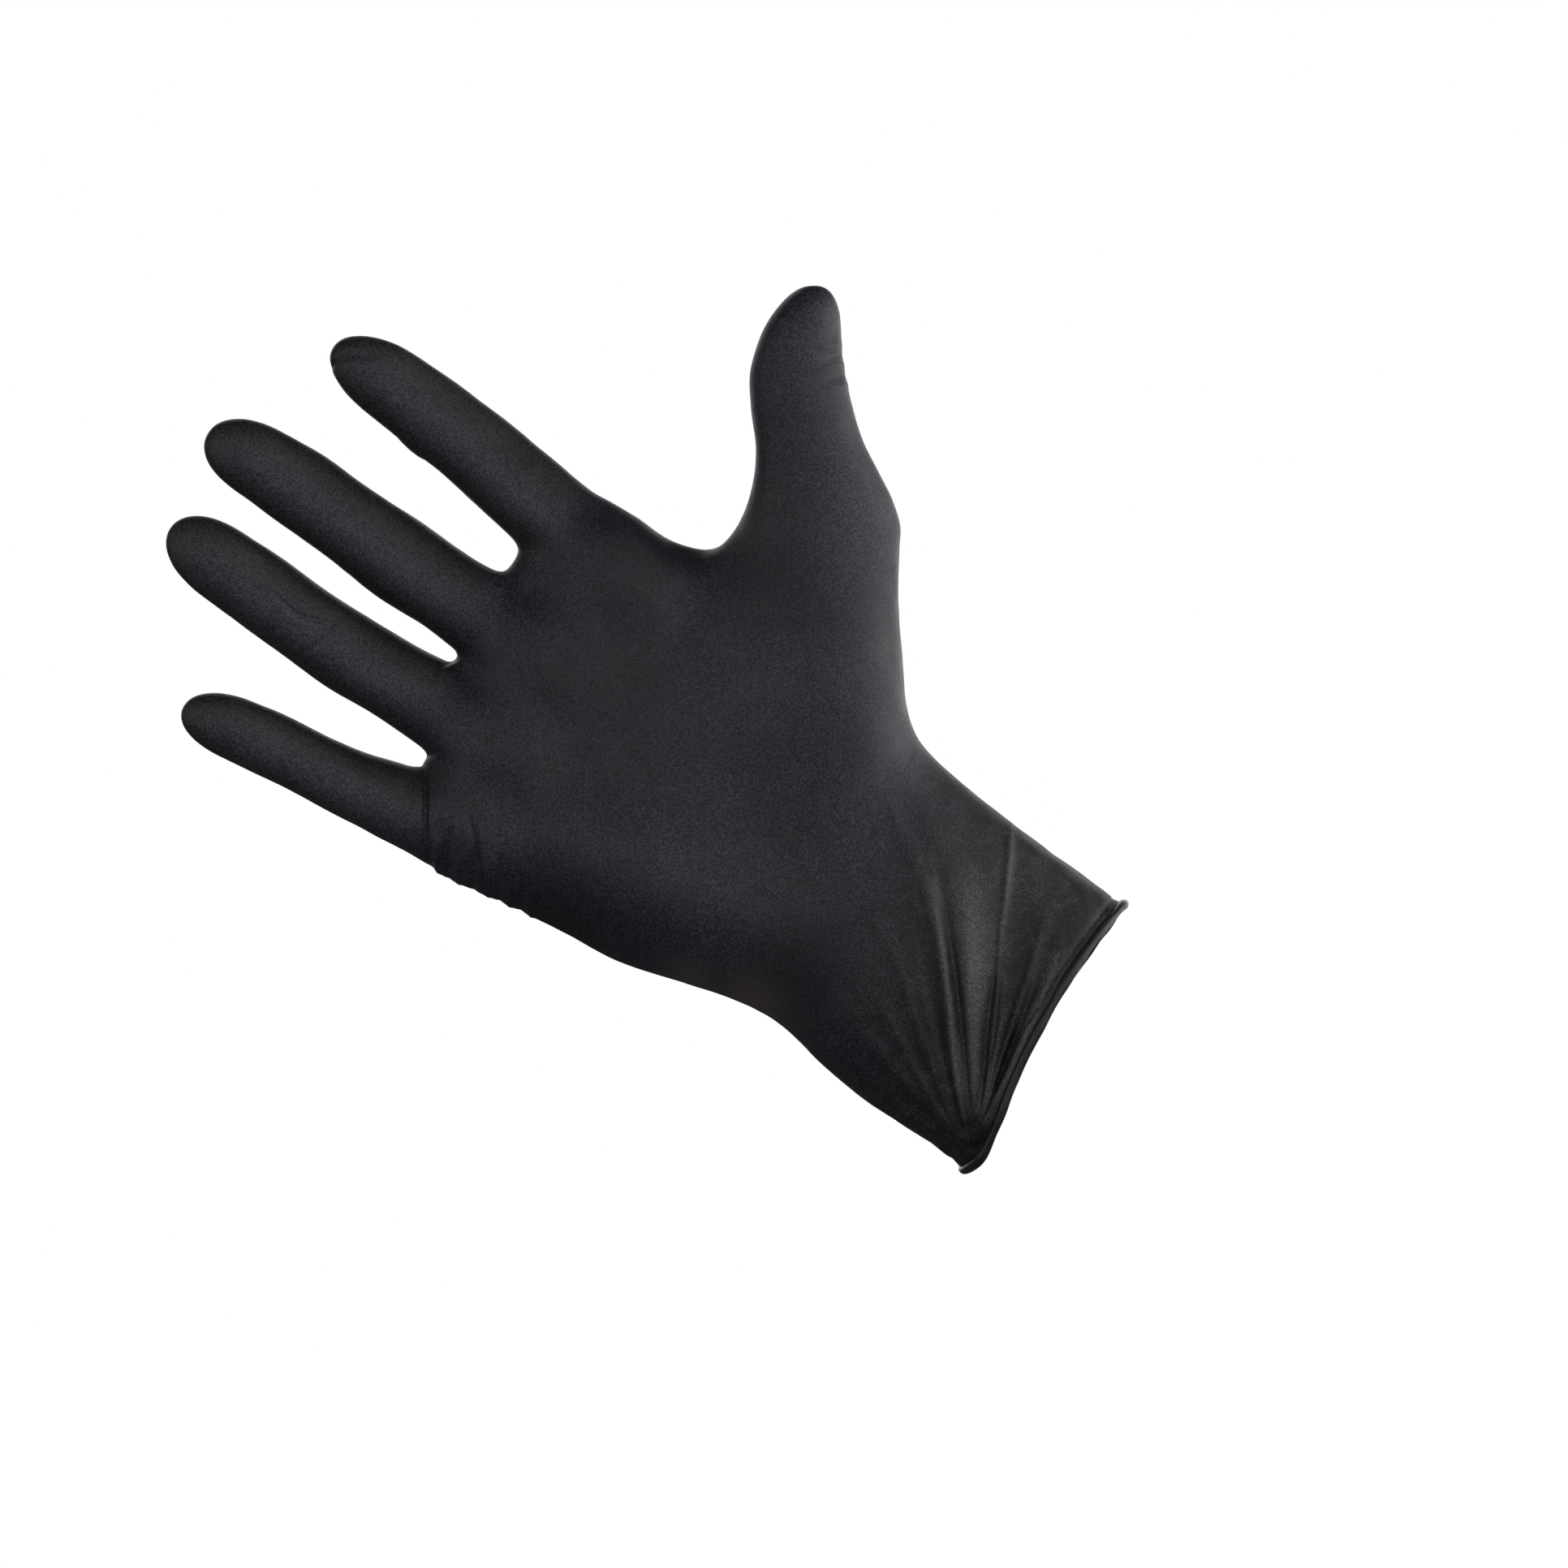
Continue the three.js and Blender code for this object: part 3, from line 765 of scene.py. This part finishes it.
def film_tone(paint, grain):
    """Black with a violet and olive grain, greyer where loose. Painted highlights lighten it, painted shade
    darkens it, and a warm reflection of skin is painted where it is stretched.
    """
    loose, pale = paint.attribute("loose"), paint.attribute("pale")
    cloud = paint.span(paint.noise(CLOUD, 3, 0.55), 0.34, 0.66)
    patch = paint.span(paint.noise(PATCH, 2, 0.5), 0.38, 0.62)
    fleck = paint.times(paint.span(paint.noise(FLECK, 1, 0.5), 0.35, 0.65), patch)
    blotch = paint.times(paint.span(paint.noise(BLOTCH, 3, 0.6), 0.36, 0.6), loose)
    light = paint.mix(fleck, paint.mix(cloud, *VIOLET), paint.mix(cloud, *OLIVE))
    # Painted shade, where its mark is set.
    light = paint.mix(paint.attribute("painted_shade"), light, PAINTED_SHADE_TONE)
    light = paint.mix(loose, light, LOOSE_TONE)
    light = paint.mix(blotch, light, BLOTCH_TONE)
    # Painted shade along the sides of the fingers.
    light = paint.mix(paint.attribute("side"), light, PAINTED_SIDE_SHADE)
    # Painted highlights: the grain turns lighter there, and neutral in the loose cuff.
    light = paint.mix(pale, light, paint.mix(loose, *HIGHLIGHT_GRAIN_LIGHT))
    dark = paint.mix(pale, BLACK, paint.mix(loose, *HIGHLIGHT_GRAIN_DARK))
    tone = paint.mix(paint.span(grain, 0.45, 0.57), dark, light)
    # A painted warm reflection of skin at the stretched edges.
    return paint.mix(paint.attribute("skin_reflection"), tone, SKIN_REFLECTION_TONE)


def film_material():
    """Black nitrile: satin, grainy and uneven in tone, with a fine texture at the fingertips."""
    paint = Painter("nitrile_film")
    grain = paint.noise(GRAIN, 3, 0.75)
    paint.links.new(film_tone(paint, grain), paint.shader.inputs["Base Color"])
    paint.shader.inputs["Specular IOR Level"].default_value = FILM_SPECULAR
    rough = paint.span(paint.noise(POLISH, 3, 0.6), 0.25, 0.75, 0.46, 0.58)
    paint.links.new(rough, paint.shader.inputs["Roughness"])
    peel = paint.bump(paint.noise(PEEL, 2, 0.5), 0.08, 0.5)
    fine = paint.bump(grain, 0.08, 1.0, peel)
    grip = paint.times(paint.noise(FLECK, 1, 0.4), paint.attribute("grip"))
    paint.links.new(paint.bump(grip, 0.12, 0.8, fine), paint.shader.inputs["Normal"])
    return paint.material


RIM_TONES = ((0.010, 0.0095, 0.010), (0.022, 0.020, 0.020))


def rim_material():
    """The rolled rim: the same film in several layers, so a little smoother and darker."""
    paint = Painter("nitrile_rim")
    tone = paint.mix(paint.noise(5, 3, 0.5), *RIM_TONES)
    paint.links.new(tone, paint.shader.inputs["Base Color"])
    rough = paint.span(paint.noise(2, 2, 0.5), 0.3, 0.7, 0.34, 0.5)
    paint.links.new(rough, paint.shader.inputs["Roughness"])
    paint.links.new(paint.bump(paint.noise(0.6, 2, 0.5), 0.05, 0.6), paint.shader.inputs["Normal"])
    return paint.material


# --- Marks: where the film's tone or texture differs, and where light and shade are painted -----

# Places in the plane of the palm, how far each reaches, and how strongly.
# A warm reflection of skin is painted at the webs and the ulnar edge of the wrist, where the film is
# stretched thin,
SKIN_REFLECTION_SPOTS = [
    ((55.5, 129), 6, 0.8),
    ((-38.2, 59.5), 9.5, 1),
    ((-40.5, 74), 7, 0.8),
    ((19, 168), 3, 0.8),
    ((-32, 157), 2.5, 0.8),
]
# highlights are painted over the thumb's ball and its joint, the other edge of the palm, and the outer side
# of the wrist,
PAINTED_HIGHLIGHTS = [
    ((75, 102), 12, 1),
    ((29, 98), 14, 0.5),
    ((-13, 92), 13, 0.3),
    ((37, 61), 9, 0.6),
    ((28, 25), 9, 0.3),
]
# and shade is painted in soft darker spots over the palm and the wrist.
PAINTED_SHADE_SPOTS = [
    ((7, 129), 22, 0.6),
    ((39, 139), 14, 0.7),
    ((53, 113), 12, 0.6),
    ((-20, 54), 15, 0.7),
    ((-44, 105), 14, 0.7),
]
# Highlights painted along the ridges of the pulled cuff: the line, its half width, and how strongly
PAINTED_RIDGE_HIGHLIGHTS = [
    (((-18, 8), (-4, 17), (10, 28), (24, 38)), 3.8, 0.9),
    (((-24, 2.5), (-11.5, 11.9), (0.6, 19.9), (12, 26.5)), 1.2, 1.25),
    (((-25, -0.4), (-5.6, 3.7), (8.3, 7), (18.5, 9.5)), 1.0, 0.9),
    (((-24, 1.2), (-10.3, 7.2), (1, 12)), 0.8, 0.7),
    (((-23, 9), (-5.3, 24.5), (7.5, 37.1), (15.5, 47.7), (21.5, 58.7)), 0.9, 0.8),
    (((6, 17.8), (12.1, 21.6), (21.4, 26.4), (38, 35.5)), 0.8, 0.7),
]
STREAK_OFF, STREAK_HALF = -1.8, 4.4  # the painted highlight streak down each finger: off its axis, half width
STREAK_LENGTH = 26  # how far it reaches below the middle joint
STREAK_START, STREAK_END = 14, 19  # over these lengths it comes and goes
FINGER_HALF = 13  # a finger's film lies nearer to its axis than this
GRIP_LENGTH, GRIP_FADE = 24, 8  # the textured part of each fingertip, and how it ends
GRIP_HALF = 14
LOOSE_HEIGHT = 56  # the film of the cuff is loose below this, at the middle of the glove
LOOSE_SLOPE, LOOSE_FADE = 0.4, 40


def past(points, place, way):
    """How far each point is past a plane."""
    return (points - place) @ way


def way_of(finger):
    """The direction of a finger, in the plane of the palm."""
    way = pivot(finger + "_tip_fold") - pivot(finger + "_middle_fold")
    way[1] = 0
    return way / np.linalg.norm(way)


def off_axis(points, finger):
    """How far each point is from a finger's axis, towards the thumb."""
    joint, way = pivot(finger + "_middle_fold"), way_of(finger)
    return points[:, 0] - joint[0] - (points[:, 2] - joint[2]) * way[0] / way[2]


def spots(points, places):
    """Soft round spots: 0 to 1 at each point."""
    mark = np.zeros(len(points))
    for place, reach, strength in places:
        gap = np.linalg.norm(points[:, [0, 2]] - place, axis=1)
        mark = np.maximum(mark, strength * np.exp(-((gap / reach) ** 2)))
    return mark


def near_tips(points):
    """1 on the last part of each finger and of the thumb."""
    from_tip = past(points, pivot("thumb_swing"), THUMB_ALONG) - THUMB_SECTIONS[-1][0]
    for finger in FINGERS:
        own = np.abs(points[:, 0] - pivot(finger + "_tip_fold")[0]) <= GRIP_HALF
        above = points[:, 2] - top_of(finger + "_tip")
        from_tip[own] = np.maximum(from_tip, above)[own]
    return np.clip((from_tip + GRIP_LENGTH) / GRIP_FADE, 0, 1)


def painted_ridge_highlights(points, palm):
    """The highlights painted along the ridges of the pulled cuff."""
    mark = np.zeros(len(points))
    for line, half, strength in PAINTED_RIDGE_HIGHLIGHTS:
        near, gap, share = nearest_on(line, points, 3 * half)
        band = np.exp(-((gap / half) ** 2)) * np.sin(np.pi * share) ** 0.5 * palm[near]
        mark[near] = np.maximum(mark[near], strength * band)
    return mark


def finger_highlight_streak(points, palm, finger):
    """The film of one finger, and the highlight streak painted down its palm side."""
    off = off_axis(points, finger)
    above = points[:, 2] - pivot(finger + "_middle_fold")[2]
    own = np.clip((above + STREAK_LENGTH) / STREAK_START, 0, 1) * (np.abs(off) < FINGER_HALF)
    ends = np.clip((top_of(finger + "_tip") - points[:, 2]) / STREAK_END, 0, 1)
    return own, own * ends * np.exp(-(((off - STREAK_OFF) / STREAK_HALF) ** 2)) * palm


def marks_of(points, normals):
    """Each mark's strength at each point. The material reads them by name."""
    palm = facing(normals, PALM)
    # pale: painted highlights on the palm side: spots, the cuff's ridges, and a streak down each finger
    pale = np.maximum(spots(points, PAINTED_HIGHLIGHTS) * palm, painted_ridge_highlights(points, palm))
    # side: painted shade over the rest of each finger's film, beside its highlight streak
    side = np.zeros(len(points))
    for finger in FINGERS:
        own, streak = finger_highlight_streak(points, palm, finger)
        pale = np.maximum(pale, streak)
        side = np.maximum(side, own - streak)
    slack = LOOSE_HEIGHT - points[:, 2] + points[:, 0] * LOOSE_SLOPE
    return {
        # painted warm reflection of skin at the stretched edges
        "skin_reflection": spots(points, SKIN_REFLECTION_SPOTS) * facing(normals, EDGE),
        "grip": near_tips(points) * palm,
        "loose": np.clip(slack / LOOSE_FADE, 0, 1),
        # painted highlights
        "pale": pale,
        # painted shade along the finger sides
        "side": side,
        # painted shade
        "painted_shade": spots(points, PAINTED_SHADE_SPOTS),
    }


# --- Pieces ------------------------------------------------------------------------------------

# The seam across the thumb's root, where the film bends past it, and where the tip's piece begins
THUMB_SEAM = (np.array([48.0, 0, 129]), np.array([0.927, 0, 0.375]))
THUMB_LEAST_X = 46.5  # the base of the index finger lies nearer than this
THUMB_BEND = (1, 22)
THUMB_FILM = 23
# The way across the row of finger roots, and where the film bends along it
ROW_WAY = np.array([-0.122, 0, 0.993])
ROW_BEND = (-13, 17)
TIP_BEND, THUMB_TIP_BEND = (-8, 8), (-10, 10)  # where it bends along a finger or the thumb
# How far from the middle joint of a finger the film bends
MIDDLE_REACH = {"index": 11, "middle": 11, "ring": 11, "little": 9.5}
SEAM_GAP = 0.8  # a seam lies this far past where the film stops bending


def sorted_faces(centre):
    """The name of each face's piece."""
    found = np.full(len(centre), "palm_and_cuff_film", dtype="U24")
    nearest = np.argmin([np.abs(off_axis(centre, finger)) for finger in FINGERS], axis=0)
    for number, finger in enumerate(FINGERS):
        joint, last, way = pivot(finger + "_middle_fold"), pivot(finger + "_tip_fold"), way_of(finger)
        reach = MIDDLE_REACH[finger] + SEAM_GAP
        own = (nearest == number) & (past(centre, joint - way * reach, way) > 0)
        found[own & (centre[:, 0] < THUMB_LEAST_X)] = finger + "_film"
        found[own & (past(centre, (joint + last) / 2, way) > 0)] = finger + "_tip_film"
    over = past(centre, *THUMB_SEAM)
    thumb = (over > 0) & (centre[:, 0] > THUMB_LEAST_X)
    found[thumb] = "thumb_film"
    found[thumb & (over > THUMB_FILM)] = "thumb_tip_film"
    return found


def cut_sides(faces, count):
    """The quads that join the outside to the inside along the edges where a piece is cut."""
    edges, uses = edges_of(faces)
    border = {tuple(edge) for edge in edges[uses == 1].tolist()}
    rim = np.zeros(count, bool)
    rim[edges[uses == 1].ravel()] = True
    sides = []
    for face in faces[rim[faces].sum(axis=1) > 1].tolist():
        for a, b in zip(face, face[1:] + face[:1]):
            if (min(a, b), max(a, b)) in border:
                sides.append((b, a, a + count, b + count))
    return sides


def new_piece(name, mesh, material):
    """A smooth object of that mesh, in the scene."""
    mesh.polygons.foreach_set("use_smooth", [True] * len(mesh.polygons))
    mesh.materials.append(material)
    piece = bpy.data.objects.new(name, mesh)
    bpy.context.scene.collection.objects.link(piece)
    return piece


def film_piece(name, points, normals, faces, marks, material):
    """A mesh object of the film: its outside, its inside, and the cut edges that join them."""
    used, faces = compact(points, faces)
    outside, up, count = points[used], normals[used], len(used)
    both = np.concatenate([faces, faces[:, ::-1] + count])
    every = [tuple(dict.fromkeys(face)) for face in both.tolist()]
    mesh = bpy.data.meshes.new(name)
    places = np.concatenate([outside, outside - up * FILM]) * MM
    mesh.from_pydata(places.tolist(), [], every + cut_sides(faces, count))
    piece = new_piece(name, mesh, material)
    mesh.normals_split_custom_set_from_vertices(np.concatenate([up, -up]).tolist())
    for mark, value in marks.items():
        data = mesh.attributes.new(mark, "FLOAT", "POINT").data
        data.foreach_set("value", np.tile(value[used], 2).astype(np.float32))
    return piece


def bent(piece, bodies, place, way, bend):
    """Bakes a piece's transform into its mesh; the piece is not bent. bodies, place, way and bend are not
    used.
    """
    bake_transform(piece)


def rim_line(points, faces):
    """The points round the film's open edge, in order, a little smoothed."""
    edges, uses = edges_of(faces)
    beside = {}
    for a, b in edges[uses == 1].tolist():
        beside.setdefault(a, []).append(b)
        beside.setdefault(b, []).append(a)
    loop, last = [next(iter(beside))], None
    while len(loop) < len(beside):
        ahead = [p for p in beside[loop[-1]] if p != last]
        last = loop[-1]
        loop.append(ahead[0])
    line = points[loop]
    for _ in range(RIM_ROUNDS):
        line = (np.roll(line, 1, 0) + 2 * line + np.roll(line, -1, 0)) / 4
    return line


def bead_points(line):
    """Rings of points round the rim's line."""
    run = np.roll(line, -1, 0) - np.roll(line, 1, 0)
    run /= np.linalg.norm(run, axis=1)[:, None]
    out = np.cross(run, (0, 0, 1))
    out *= np.sign((out * (line - line.mean(0))).sum(1))[:, None]
    turns = np.linspace(0, 2 * np.pi, RIM_SIDES, endpoint=False)
    uneven = [noise.noise(Vector(p * BEAD_WAVE)) for p in line]
    size = BEAD_RADIUS * (1 + BEAD_UNEVEN * np.array(uneven))
    ring = out[:, None] * np.cos(turns)[:, None] + np.array([0, 0, BEAD_TALL]) * np.sin(turns)[:, None]
    return (line + out * BEAD_OUT)[:, None] + ring * size[:, None, None]


def rolled_rim(points, faces):
    """The rim: the film's edge rolled up into a bead, a little uneven in thickness."""
    places = bead_points(rim_line(points, faces))
    number = np.arange(len(places) * RIM_SIDES).reshape(len(places), RIM_SIDES)
    ahead = np.roll(number, -1, 0)
    quads = np.stack([number, ahead, np.roll(ahead, -1, 1), np.roll(number, -1, 1)], -1).reshape(-1, 4)
    mesh = bpy.data.meshes.new("rolled_rim")
    mesh.from_pydata((places.reshape(-1, 3) * MM).tolist(), [], quads.tolist())
    shape = bmesh.new()
    shape.from_mesh(mesh)
    bmesh.ops.recalc_face_normals(shape, faces=shape.faces)
    shape.to_mesh(mesh)
    shape.free()
    rim = new_piece("rolled_rim", mesh, rim_material())
    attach(rim, "palm")
    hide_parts("cuff_bead")


def film_surface():
    """The film's outside, meshed and folded: its points and faces."""
    field = hand_field()
    points, faces = field.surface()
    points = relaxed(points, faces, field, COARSE_ROUNDS)
    points, faces = refined(points, faces, needs_detail(points, faces))
    points = relaxed(points, faces, field, FINE_ROUNDS)
    points, faces = opened(points, faces, 0)
    return folded(points, faces), faces


def place_finger(finger, lower, tip):
    """Bakes a finger's two pieces of film where they are, and hides the CAD parts under them."""
    way, reach, middle = way_of(finger), MIDDLE_REACH[finger], finger + "_middle"
    bent(lower, ("finger_row", middle), pivot(middle + "_fold"), way, (-reach, reach))
    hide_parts(finger + "_stall", finger + "_knuckle_crease", middle)
    bent(tip, (middle, finger + "_tip"), pivot(finger + "_tip_fold"), way, TIP_BEND)
    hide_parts(finger + "_tip_crease", finger + "_tip")


def make_glove():
    """The film in its pieces, and the rim."""
    points, faces = film_surface()
    normals = normals_of(points, faces)
    marks = marks_of(points, normals)
    material = film_material()
    owner = sorted_faces(points[faces].mean(axis=1))
    film = {
        name: film_piece(name, points, normals, faces[owner == name], marks, material)
        for name in np.unique(owner).tolist()
    }

    palm = film["palm_and_cuff_film"]
    bent(palm, ("palm", "finger_row"), pivot("finger_row_fold"), ROW_WAY, ROW_BEND)
    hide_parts("cuff_sleeve", "wrist_sleeve", "palm_front", "palm_back", "row_crease", "finger_webs")
    for finger in FINGERS:
        place_finger(finger, film[finger + "_film"], film[finger + "_tip_film"])

    thumb, tip = film["thumb_film"], film["thumb_tip_film"]
    bent(thumb, ("palm", "thumb"), *THUMB_SEAM, THUMB_BEND)
    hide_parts("thumb_root", "thumb_root_crease", "thumb_stall")
    bent(tip, ("thumb", "thumb_tip"), pivot("thumb_tip_fold"), THUMB_ALONG, THUMB_TIP_BEND)
    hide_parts("thumb_tip_crease", "thumb_tip")
    rolled_rim(points, faces)


make_glove()


# --- Camera, floor and light --------------------------------------------------------------------

# The camera looks straight at the palm. Its right and up, and the point and the width that it sees
RIGHT = Vector((0.5736, 0, -0.8192))
UP = Vector((0.8192, 0, 0.5736))
TO_EYE = RIGHT.cross(UP)
CENTRE = Vector((12.8, 0, 82.9)) * MM
VIEW_WIDTH = 0.367  # metres
LENS = 135
SENSOR = 36
FLOOR_HEIGHT, FLOOR_SIZE = -0.12, 6  # metres
FLOOR_TONE, FLOOR_GLOW = 0.9, 0.96


def aim_camera():
    """A long lens, square to the palm."""
    data = bpy.data.cameras.new("camera")
    data.lens, data.sensor_width = LENS, SENSOR
    camera = bpy.data.objects.new("camera", data)
    away = VIEW_WIDTH * LENS / SENSOR
    turn = Matrix((RIGHT, UP, TO_EYE)).transposed().to_4x4()
    camera.matrix_world = Matrix.Translation(CENTRE + TO_EYE * away) @ turn
    bpy.context.scene.collection.objects.link(camera)
    bpy.context.scene.camera = camera


# The soft lights: place (right, up and towards the camera, in metres), size and power
LIGHTS = {
    "front": ((0.05, 0.2, 1.15), 1.3, 2.4),
    "front_right": ((0.6, 0.1, 0.9), 0.9, 2.1),
    "front_left": ((-0.65, 0.2, 0.9), 0.9, 1.1),
    "right": ((1.0, 0.2, 0.15), 0.9, 3.6),
    "up_right": ((0.7, 0.75, 0.4), 0.9, 1.1),
    "left": ((-1.0, 0.1, 0.35), 0.9, 1.5),
    "right_behind": ((1.0, 0.2, -0.35), 0.9, 3.0),
    "back_right": ((0.4, 0.0, -1.1), 1.0, 5.0),
    "back_left": ((-0.35, 0.35, -1.1), 1.0, 5.0),
}
ROOM_LIGHT = 0.06


def soft_lights():
    """Square lights that face the glove."""
    for name, (place, size, power) in LIGHTS.items():
        data = bpy.data.lights.new(name, "AREA")
        data.size, data.energy = size, power
        light = bpy.data.objects.new(name, data)
        light.location = CENTRE + RIGHT * place[0] + UP * place[1] + TO_EYE * place[2]
        light.rotation_euler = (light.location - CENTRE).to_track_quat("Z", "Y").to_euler()
        light.visible_camera = False
        bpy.context.scene.collection.objects.link(light)


def white_room():
    """A dim even light all round, which the camera sees as white."""
    world = bpy.data.worlds.new("room")
    bpy.context.scene.world = world
    world.use_nodes = True
    nodes, links = world.node_tree.nodes, world.node_tree.links
    sky = nodes["Background"]
    sky.inputs["Color"].default_value = (1, 1, 1, 1)
    sky.inputs["Strength"].default_value = ROOM_LIGHT
    seen = nodes.new("ShaderNodeBackground")
    seen.inputs["Color"].default_value = (1, 1, 1, 1)
    path = nodes.new("ShaderNodeLightPath")
    mix = nodes.new("ShaderNodeMixShader")
    links.new(path.outputs["Is Camera Ray"], mix.inputs[0])
    links.new(sky.outputs[0], mix.inputs[1])
    links.new(seen.outputs[0], mix.inputs[2])
    links.new(mix.outputs[0], nodes["World Output"].inputs[0])


def lay_floor():
    """A plain pale floor. Light passes through it, because some of the lights are below it."""
    bpy.ops.mesh.primitive_plane_add(size=FLOOR_SIZE, location=(0, 0, FLOOR_HEIGHT))
    floor = bpy.context.object
    floor.name = "floor"
    material = bpy.data.materials.new("floor")
    material.use_nodes = True
    shader = material.node_tree.nodes["Principled BSDF"]
    shader.inputs["Base Color"].default_value = (FLOOR_TONE, FLOOR_TONE, FLOOR_TONE, 1)
    shader.inputs["Roughness"].default_value = 0.8
    shader.inputs["Emission Color"].default_value = (1, 1, 1, 1)
    shader.inputs["Emission Strength"].default_value = FLOOR_GLOW
    floor.data.materials.append(material)
    floor.visible_shadow = False
    floor.visible_diffuse = False
    floor.visible_glossy = False


bpy.context.scene.view_settings.view_transform = "Standard"
aim_camera()
soft_lights()
white_room()
lay_floor()
